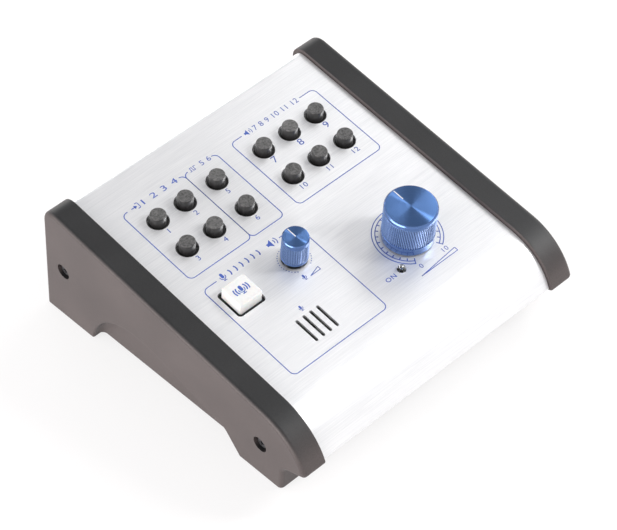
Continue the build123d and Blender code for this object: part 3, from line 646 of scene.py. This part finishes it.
# A mesh turned about z from radii and heights, with a map that runs round the axis and along the section
def turnedMesh(name, section, count):
    work = bmesh.new()
    turnedMap = work.loops.layers.uv.new("turned")
    mapUnit = 100 * mm
    rings = []
    lengths = [0.0]
    for radius, height in section:
        if radius == 0:
            rings.append([work.verts.new((0, 0, height))] * count)
        else:
            turns = [2 * pi * step / count for step in range(count)]
            rings.append([work.verts.new((radius * cos(turn), radius * sin(turn), height)) for turn in turns])
    for before, after in zip(section, section[1:]):
        run = Vector(after) - Vector(before)
        lengths.append(lengths[-1] + run.length / mapUnit)
    for level in range(len(section) - 1):
        for step in range(count):
            after = (step + 1) % count
            corners = [
                (rings[level][step], step, level), (rings[level][after], step + 1, level),
                (rings[level + 1][after], step + 1, level + 1), (rings[level + 1][step], step, level + 1),
            ]
            if section[level][0] == 0:  # a triangle at the axis, mapped from the middle of its step
                corners[:2] = [(rings[level][step], step + 0.5, level)]
            if section[level + 1][0] == 0:
                corners[-2:] = [(rings[level + 1][step], step + 0.5, level + 1)]
            face = work.faces.new([corner[0] for corner in corners])
            for loop, (vertex, turn, along) in zip(face.loops, corners):
                loop[turnedMap].uv = (turn / count, lengths[along])
    return meshFrom(name, work)


def smoothed(piece, angle=30):
    piece.data.shade_smooth()
    piece.data.set_sharp_from_angle(angle=radians(angle))


# What both knobs share, in millimetres. The rings on the top face are shares of the top ring's outer radius, and
# the corners of the bevel are a share of the other rounding.
knobLook = {
    "stepsPerFlute": 6, "ring": 2.3, "roof": 1.8, "round": 0.12, "bevelShare": 0.3, "gripInset": 0.25,
    "lip": 0.03, "topRings": (0.5, 0.12), "pointerWidth": 0.5, "pointerDepth": 0.22, "pointerInset": 0.1,
    "paintShort": 0.06,
}
volumeLook = {
    **knobLook, "flutes": 70, "fluteDepth": 0.28, "slant": 0.021, "gripRings": 10,
    "band": 4.2, "ringOut": 0.28, "chamfer": 0.65, "gap": 0.3,
    "gripLow": 11.28, "gripHigh": 11.28, "wall": 1.3, "pointerFrom": 0.45,
}
levelLook = {
    **knobLook, "flutes": 52, "fluteDepth": 0.16, "slant": 0.012, "gripRings": 12,
    "band": 0.9, "ringOut": 0.12, "chamfer": 0.4, "gap": 0.0,
    "gripLow": 5.88, "gripHigh": 5.72, "wall": 0.65, "pointerFrom": 0.0,
}


# The painted line of a knob: a groove cut in its top, and the paint that fills it nearly to the brim
def cutPointer(piece, node, look, edge, top, place, body):
    start = look["pointerFrom"] * edge
    end = edge - look["pointerInset"] * mm
    depth = look["pointerDepth"] * mm
    width = look["pointerWidth"] * mm
    cutter = bmesh.new()
    addBar(cutter, 0, start, end, width, top - depth, top + depth)
    holder = pieceFrom("cutter", meshFrom("cutter", cutter))
    modifier = piece.modifiers.new("groove", "BOOLEAN")
    modifier.operation = "DIFFERENCE"
    modifier.solver = "EXACT"
    modifier.object = holder
    keepModified(piece, modifier)
    bpy.data.objects.remove(holder)
    paint = bmesh.new()
    addBar(paint, 0, start, end, width, top - depth, top - look["paintShort"] * mm)
    addPiece(node + "Pointer", paint, place, body, pointerWhite)


# A turned knob with a plain band, a fluted grip, a plain ring and a bevelled top, on its node's own size
def buildKnob(node, joint, look, body):
    place = deck @ Matrix.Translation(jointFoot(joint))
    low, high = boxIn(place, node)

    def size(label):
        return look[label] * mm

    base, top = high.x, high.z
    bottom = low.z + size("gap")
    bandTop = low.z + size("band")
    ringLow = top - size("ring")
    chamfer, soft, inset, lip = size("chamfer"), size("round"), size("gripInset"), size("lip")
    gripLow, gripHigh = size("gripLow"), size("gripHigh")
    inner = gripHigh - size("wall")
    roof = top - size("roof")
    ring = gripHigh + size("ringOut")
    corner = look["bevelShare"] * soft
    edge = ring - chamfer - soft
    rings = look["gripRings"]
    grip = [(gripLow + (gripHigh - gripLow) * step / rings,
             bandTop + inset + (ringLow - bandTop - 2 * inset) * step / rings) for step in range(rings + 1)]
    section = [
        (0, roof), (inner, roof), (inner, bottom), (base - soft, bottom), (base, bottom + soft),
        (base, bandTop - soft), (base - soft, bandTop), (gripLow + lip, bandTop),
        *grip, (gripHigh + lip, ringLow),
        (ring - soft, ringLow), (ring, ringLow + soft), (ring, top - chamfer - soft),
        (ring - corner, top - chamfer), (ring - chamfer + corner, top - corner),
        (edge, top), *[(share * ring, top) for share in look["topRings"]], (0, top),
    ]
    piece = pieceFrom(node + "Turned", turnedMesh(node, section, look["flutes"] * look["stepsPerFlute"]))
    runTree(piece, knobFlutes, {
        "Count": float(look["flutes"]), "Depth": size("fluteDepth"), "Slant": look["slant"] / mm,
        "Low": bandTop + 0.5 * inset, "High": ringLow - 0.5 * inset,
        "Band": blueBand, "Grip": blueGrip, "Top": blueTop, "Top From": top - 0.1 * soft,
    })
    cutPointer(piece, node, look, edge, top, place, body)
    piece.data.transform(place)
    smoothed(piece)
    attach(piece, body)
    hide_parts(node)


buildKnob("volume_knob", "volume_turn", volumeLook, "volume_knob")
buildKnob("level_knob", "level_turn", levelLook, "level_knob")
print("knobs made")


# Points given in tenths of a sign's height, about its place
def scaled(points, x, y, height):
    return [Vector((x + height / 10 * across, y + height / 10 * up)) for across, up in points]


microphoneSign = {
    "line": 0.9, "capsule": (3.4, 10), "capsuleWidth": 3.2,
    "holder": 3.1, "holderMiddle": 5.2, "holderTop": 6.2, "stem": [(0, 2.1), (0, 0.45)],
    "foot": [(-2.0, 0.45), (2.0, 0.45)],
}
speakerSign = {
    "cone": [(-5, -1.8), (-2.6, -1.8), (1, -5), (1, 5), (-2.6, 1.8), (-5, 1.8)],
    "waves": (3.2, 6.2), "waveFrom": 1, "waveEnds": (48, 132), "line": 1.0,
}
arrowSign = {
    "shaft": [(-7, 0), (-0.5, 0)], "shaftWidth": 1.5, "head": [(-1.5, -3.4), (3.2, 0), (-1.5, 3.4)],
    "socket": [(2.0, 5.0), (6.5, 5.0), (6.5, -5.0), (2.0, -5.0)], "corner": 1.6, "line": 1.2,
}
squareSign = {
    "steps": [(-8, -4), (-5, -4), (-5, 4), (-1, 4), (-1, -4), (3, -4), (3, 4), (7, 4)], "line": 1.2,
}


# A small microphone: capsule, holder, stem and foot, standing on a place
def addMicrophone(work, x, y, height):
    sign, unit = microphoneSign, height / 10
    line = sign["line"] * unit
    low, high = sign["capsule"]
    addBar(work, x, y + low * unit, y + high * unit, sign["capsuleWidth"] * unit)
    holder = arcPath((x, y + sign["holderMiddle"] * unit), sign["holder"] * unit, 90, 270, steps=16)
    right, left = scaled([(side * sign["holder"], sign["holderTop"]) for side in (1, -1)], x, y, height)
    addLine(work, [right, *holder, left], line)
    for part in ("stem", "foot"):
        addLine(work, scaled(sign[part], x, y, height), line)


# Sound waves of growing radius to both sides of a place, all of one height
def addWaves(work, x, y, radii, height, line, widest=55.0):
    for radius in radii:
        reach = min(degrees(asin(min(height / 2 / radius, 1.0))), widest)
        for side in (90, 270):
            addLine(work, arcPath((x, y), radius, side - reach, side + reach), line)


def addLoudspeaker(work, x, y, height):
    sign, unit = speakerSign, height / 10
    addShape(work, scaled(sign["cone"], x, y, height))
    for radius in sign["waves"]:
        middle = (x + sign["waveFrom"] * unit, y)
        addLine(work, arcPath(middle, radius * unit, *sign["waveEnds"]), sign["line"] * unit)


# An arrow that points into a socket
def addArrow(work, x, y, height):
    sign, unit = arrowSign, height / 10
    addLine(work, scaled(sign["shaft"], x, y, height), sign["shaftWidth"] * unit)
    addShape(work, scaled(sign["head"], x, y, height))
    socket = roundedPath(scaled(sign["socket"], x, y, height), sign["corner"] * unit, steps=4)
    addLine(work, socket, sign["line"] * unit)


# A square wave, whose strokes overlap by half a line at the corners
def addSquareWave(work, x, y, height):
    line = squareSign["line"] * height / 10
    corners = scaled(squareSign["steps"], x, y, height)
    for first, second in zip(corners, corners[1:]):
        along = (second - first).normalized() * line / 2
        addLine(work, [first - along, second + along], line)


# A rising wedge, the sign for a level
def addWedge(work, left, right, bottom, height, line):
    corners = [(left, bottom), (right, bottom), (right, bottom + height), (left, bottom)]
    for ends in zip(corners, corners[1:]):
        addLine(work, ends, line)


# Places on the deck are in millimetres, with y up the slope from the rear row of buttons. Each frame is open along
# its top between two places, and runs from one side to the other.
frameLook = {
    "line": 0.42, "corner": 2.5,
    "frames": {
        "input": {"gap": (-51.3, -22.6), "sides": (-54.5, -20.35), "top": 11.8, "bottom": -32.25},
        "digital": {"gap": (-3.9, -18.0), "sides": (-2.0, -20.35), "top": 11.8, "bottom": -32.25},
        "speaker": {"gap": (12.9, 46.8), "sides": (6.35, 54.9), "top": 11.7, "bottom": -32.25},
        "talkback": {"gap": (-46.8, -12.0), "sides": (-54.5, -2.0), "top": -39.7, "bottom": -95.35},
    },
}


def addFrames(work):
    for outline in frameLook["frames"].values():
        (first, last), (near, far) = outline["gap"], outline["sides"]
        top, bottom = outline["top"], outline["bottom"]
        corners = [(first, top), (near, top), (near, bottom), (far, bottom), (far, top), (last, top)]
        addLine(work, roundedPath(corners, frameLook["corner"]), frameLook["line"])


# Signs have a place along the heading and a height; figures also have the width that they fill
headingLook = {
    "arrow": (-47.0, 3.0), "squareWave": (-14.9, 2.4), "loudspeaker": (16.2, 3.2),
    "inputs": ("1 2 3 4", -33.6, 4.2, 19.0), "digital": ("5 6", -8.0, 3.8, 5.6),
    "speakers": ("7 8 9 10 11 12", 32.6, 4.0, 25.6),
    "talkbackSign": 4.2, "microphoneIn": 3.4, "microphoneDrop": 2.1, "loudspeakerIn": 4.6,
    "waves": 6, "wavesIn": 5.2, "wavePitch": 3.15, "waveRadius": 2.4, "waveEnds": (52, 128), "waveLine": 0.6,
}


def addHeadings(work):
    look, frames = headingLook, frameLook["frames"]

    def heading(frameName, addSign, sign, figures):
        top = frames[frameName]["top"]
        along, height = look[sign]
        addSign(work, along, top, height)
        words, middle, size, width = look[figures]
        addFigures(work, words, middle, top, size, width)

    heading("input", addArrow, "arrow", "inputs")
    heading("digital", addSquareWave, "squareWave", "digital")
    heading("speaker", addLoudspeaker, "loudspeaker", "speakers")
    top = frames["talkback"]["top"]
    first, last = frames["talkback"]["gap"]
    addMicrophone(work, first + look["microphoneIn"], top - look["microphoneDrop"], look["talkbackSign"])
    for wave in range(look["waves"]):
        middle = (first + look["wavesIn"] + look["wavePitch"] * wave, top)
        addLine(work, arcPath(middle, look["waveRadius"], *look["waveEnds"]), look["waveLine"])
    addLoudspeaker(work, last - look["loudspeakerIn"], top, look["talkbackSign"])


figureLook = {"size": 3.7, "drop": 7.0, "largeSize": 5.0, "large": 3}


# One number under each button, larger on the first row of the speakers
def addButtonFigures(work):
    look = figureLook
    buttons = [group + "_button_" + str(place + 1)
               for group, count in (("input", 4), ("digital", 2), ("speaker", 6)) for place in range(count)]
    large = ["speaker_button_" + str(place + 1) for place in range(look["large"])]
    for number, button in enumerate(buttons, 1):
        x, y = onDeck(button)
        addFigures(work, str(number), x, y - look["drop"], look["largeSize"] if button in large else look["size"])


scaleLook = {
    "joint": "volume_turn", "ends": 149.0, "outer": 15.25, "inner": 13.77, "ticks": 23, "tickLength": 1.35,
    "tickWidth": 0.48, "line": 0.42, "figure": 3.2, "figureX": 6.95, "figureDrop": 15.4,
    "wedge": {"half": 10.5, "drop": 19.4, "height": 1.9, "line": 0.38},
}
dotsLook = {"joint": "level_turn", "ends": 150.0, "radius": 7.2, "count": 31, "dot": 0.5}


def addScale(work):
    look, wedge = scaleLook, scaleLook["wedge"]
    foot = jointFoot(look["joint"]) / mm
    ends, line = look["ends"], look["line"]
    for radius in (look["outer"], look["inner"]):
        addLine(work, arcPath(foot, radius, -ends, ends, steps=96), line)
    for side, number in ((-1, "0"), (1, "10")):
        addLine(work, [arcPath(foot, radius, side * ends, side * ends, steps=1)[0]
                       for radius in (look["outer"] + line / 2, look["inner"])], line)
        addFigures(work, number, foot.x + side * look["figureX"], foot.y - look["figureDrop"], look["figure"])
    addWedge(work, foot.x - wedge["half"], foot.x + wedge["half"], foot.y - wedge["drop"], wedge["height"],
             wedge["line"])


# The ring of marks round a knob, from one tree
def buildRing(name, look, values):
    foot = jointFoot(look["joint"])
    piece = pieceFrom(name, bpy.data.meshes.new(name))
    ends = radians(look["ends"])
    values = {label: value * mm if isinstance(value, float) else value for label, value in values.items()}
    runTree(piece, arcMarks, {
        "First": -ends, "Last": ends, "Material": blueInk, "Thickness": inkThickness * mm, **values,
    })
    piece.data.transform(deck @ Matrix.Translation((foot.x, foot.y, (inkLow + inkHigh) / 2 * mm)))
    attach(piece, "base")


# A piece that is drawn in millimetres, in blue ink unless another material is given
def printPiece(name, work, place, body, material=blueInk):
    addPiece(name, work, place @ Matrix.Scale(mm, 4), body, material)


# Signs by the level knob, the slots and the light, from the middle of what they name, and the mark on the key
signLook = {
    "levelMicrophone": {"left": 3.4, "y": -63.2, "height": 3.0},
    "levelWedge": {"ends": (-0.9, 4.6), "y": -62.9, "height": 1.7, "line": 0.36},
    "slots": {"y": -73.9, "height": 2.9},
    "light": {"words": "ON", "left": 6.6, "drop": 0.5, "size": 3.1, "bold": 0.03},
    "key": {"foot": -2.2, "height": 4.6, "wavesAt": 0.35, "waves": (2.5, 3.6), "waveHeight": 3.3, "line": 0.6},
}


def addSigns(work):
    level = onDeck("level_knob")[0]
    sign, wedge = signLook["levelMicrophone"], signLook["levelWedge"]
    addMicrophone(work, level - sign["left"], sign["y"], sign["height"])
    first, last = wedge["ends"]
    addWedge(work, level + first, level + last, wedge["y"], wedge["height"], wedge["line"])
    sign = signLook["slots"]
    addMicrophone(work, onDeck("mic_capsule")[0], sign["y"], sign["height"])
    sign = signLook["light"]
    x, y = onDeck("level_led")
    addFigures(work, sign["words"], x - sign["left"], y - sign["drop"], sign["size"], bold=sign["bold"])


def buildPrinting():
    frames = bmesh.new()
    addFrames(frames)
    printPiece("deckFrames", frames, deck, "base")
    labels = bmesh.new()
    addButtonFigures(labels)
    addHeadings(labels)
    addScale(labels)
    addSigns(labels)
    printPiece("deckLabels", labels, deck, "base")
    scale, dots = scaleLook, dotsLook
    buildRing("volumeTicks", scale, {
        "Count": scale["ticks"], "Radius": scale["inner"] - scale["tickLength"] / 2,
        "Length": scale["tickLength"], "Width": scale["tickWidth"], "Round": False,
    })
    buildRing("levelDots", dots, {
        "Count": dots["count"], "Radius": dots["radius"], "Length": dots["dot"], "Width": dots["dot"],
        "Round": True,
    })
    low, high = boxIn(deck, "talkback_cap")
    foot = Vector(((low.x + high.x) / 2, (low.y + high.y) / 2, high.z))
    sign, mark = signLook["key"], bmesh.new()
    addMicrophone(mark, 0, sign["foot"], sign["height"])
    addWaves(mark, 0, sign["wavesAt"], sign["waves"], sign["waveHeight"], sign["line"])
    printPiece("keyMark", mark, deck @ Matrix.Translation(foot), "talkback_key")


buildPrinting()
print("printing made")


# The dark collar round the foot of the talkback key
collarLook = {"foot": -1.8, "top": -0.7, "gap": 0.02, "wall": 0.32, "corner": 0.8}


# Points of a square with rounded corners
def roundedSquare(half, corner, steps=5):
    points = []
    reach = half - corner
    for quarter in range(4):
        turn = Matrix.Rotation(quarter * pi / 2, 2)
        for step in range(steps + 1):
            angle = pi / 2 * step / steps
            points.append(turn @ Vector((reach + corner * cos(angle), reach + corner * sin(angle))))
    return points


def buildCollar():
    look = collarLook
    low, high = boxIn(deck, "talkback_cap")
    half = (high.x - low.x) / 2 / mm + look["gap"]
    work = bmesh.new()
    inner = roundedSquare(half, look["corner"])
    outer = roundedSquare(half + look["wall"], look["corner"] + look["wall"])
    foot, top = look["foot"], look["top"]
    loops = [[work.verts.new((point.x, point.y, height)) for point in points]
             for points, height in ((inner, foot), (outer, foot), (outer, top), (inner, top))]
    for first, second in zip(loops, loops[1:] + loops[:1]):
        for step in range(len(first)):
            after = (step + 1) % len(first)
            work.faces.new((first[step], first[after], second[after], second[step]))
    middle = Matrix.Translation(((low.x + high.x) / 2, (low.y + high.y) / 2, 0))
    printPiece("talkbackCollar", work, deck @ middle, "talkback_key", blackMoulding)


buildCollar()
print("collar made")


# The small cup and its die, seen through the clear dome of the light
cupLook = {"top": 0.78, "low": 0.45, "depth": 0.9, "rise": 1.15, "wall": 0.1, "die": 0.3, "sides": 24}


def buildLightCup():
    look = cupLook
    x, y = onDeck("level_led")
    high = look["rise"]
    low = high - look["depth"]
    wall = look["wall"]
    section = [
        (0, low), (look["low"], low), (look["top"], high), (look["top"] - wall, high),
        (look["low"] - wall, low + 2 * wall), (look["die"], low + 2 * wall), (look["die"], low + 4 * wall),
        (0, low + 4 * wall),
    ]
    mesh = turnedMesh("lightCup", [(radius * mm, height * mm) for radius, height in section], look["sides"])
    work = bmesh.new()
    work.from_mesh(mesh)
    bmesh.ops.remove_doubles(work, verts=work.verts, dist=0.001 * mm)
    bmesh.ops.recalc_face_normals(work, faces=work.faces)
    work.to_mesh(mesh)
    work.free()
    mesh.materials.append(tinPlate)
    piece = pieceFrom("lightCup", mesh, deck @ Matrix.Translation((x * mm, y * mm, 0)))
    smoothed(piece, angle=40)
    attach(piece, "base")


buildLightCup()
print("light made")


# Turns z back from a target to a place
def aimed(place, target):
    back = (Vector(place) - Vector(target)).normalized()
    return back.to_track_quat("Z", "Y").to_matrix().to_4x4()


stageLook = {
    "floorSize": 6.0, "floorColor": (0.94, 0.915, 0.915, 1), "floorRoughness": 0.6, "floorShade": 0.25,
    "overhead": (0.52, 0.52, 0.53, 1), "horizonEnds": (0.2, 0.6), "target": (0, 0, 0.03),
    "lamps": [
        {"name": "keySoftbox", "place": (0.78, -0.65, 0.82), "size": (0.2, 0.4), "power": 9.5},
        {"name": "rightSoftbox", "place": (1.02, -0.10, 0.82), "size": (1.15, 0.35), "power": 8.0},
        {"name": "rearLeftSoftbox", "place": (-0.83, 0.83, 0.82), "size": (1.2, 0.4), "power": 4.5},
        {"name": "backSoftbox", "place": (0.45, 1.35, 0.40), "size": (1.3, 0.5), "power": 5.5},
        {"name": "leftSoftbox", "place": (-1.36, -0.05, 0.30), "size": (1.5, 0.6), "power": 23.0,
         "color": (1.0, 0.93, 0.92)},
    ],
}


# White paper: lit by the lamps, and partly glowing where the camera, a gloss or a clear piece sees it
def buildFloor():
    look = stageLook
    work = bmesh.new()
    bmesh.ops.create_grid(work, x_segments=4, y_segments=4, size=look["floorSize"] / 2)
    floor = pieceFrom("floor", meshFrom("floor", work))
    material, shader = plainMaterial("floorPaper", {
        "Base Color": look["floorColor"], "Roughness": look["floorRoughness"],
    })
    tree = material.node_tree
    glow = result(tree, "ShaderNodeEmission", {"Color": grey(1.0), "Strength": 1.0})
    rays = addNode(tree, "ShaderNodeLightPath").outputs
    first = calculate(tree, "MAXIMUM", rays["Is Camera Ray"], rays["Is Glossy Ray"])
    either = calculate(tree, "MAXIMUM", first, rays["Is Transmission Ray"])
    seen = calculate(tree, "MULTIPLY", either, 1 - look["floorShade"])
    mix = result(tree, "ShaderNodeMixShader", {"Fac": seen, 1: shader.outputs[0], 2: glow})
    feed(tree, tree.nodes["Material Output"], {"Surface": mix})
    floor.data.materials.append(material)


# White round the horizon and dimmer overhead, as in a studio with pale walls
def buildSky():
    world = bpy.data.worlds.new("studio")
    world.use_nodes = True
    sky = world.node_tree
    towards = addNode(sky, "ShaderNodeTexCoord").outputs["Generated"]
    height = addNode(sky, "ShaderNodeSeparateXYZ", {0: towards}).outputs["Z"]
    low, high = stageLook["horizonEnds"]
    rise = result(sky, "ShaderNodeMapRange", {"Value": height, "From Min": low, "From Max": high},
                  interpolation_type="SMOOTHSTEP")
    feed(sky, sky.nodes["Background"], {"Color": mixColors(sky, rise, grey(1.0), stageLook["overhead"])})
    bpy.context.scene.world = world


def buildLamps():
    for lamp in stageLook["lamps"]:
        light = bpy.data.lights.new(lamp["name"], "AREA")
        light.shape = "RECTANGLE"
        light.size, light.size_y = lamp["size"]
        light.energy = lamp["power"]
        light.color = lamp.get("color", (1.0, 1.0, 1.0))
        holder = bpy.data.objects.new(lamp["name"], light)
        holder.matrix_world = Matrix.Translation(lamp["place"]) @ aimed(lamp["place"], stageLook["target"])
        bpy.context.scene.collection.objects.link(holder)


cameraLook = {
    "place": (-0.4571, -0.5772, 0.7736), "lens": 143.09, "sensor": 36.0,
    "right": (0.73384, -0.67575, -0.06954), "up": (0.52011, 0.49305, 0.69741),
}


def buildCamera():
    look = cameraLook
    right = Vector(look["right"]).normalized()
    back = right.cross(Vector(look["up"])).normalized()
    up = back.cross(right)
    lens = bpy.data.cameras.new("camera")
    lens.lens = look["lens"]
    lens.sensor_width = look["sensor"]
    camera = bpy.data.objects.new("camera", lens)
    turn = Matrix((right, up, back)).transposed().to_4x4()
    camera.matrix_world = Matrix.Translation(look["place"]) @ turn
    bpy.context.scene.collection.objects.link(camera)
    bpy.context.scene.camera = camera


buildFloor()
buildSky()
buildLamps()
buildCamera()
bpy.context.scene.view_settings.view_transform = "Standard"
print("stage and camera made")

bpy.context.view_layer.update()
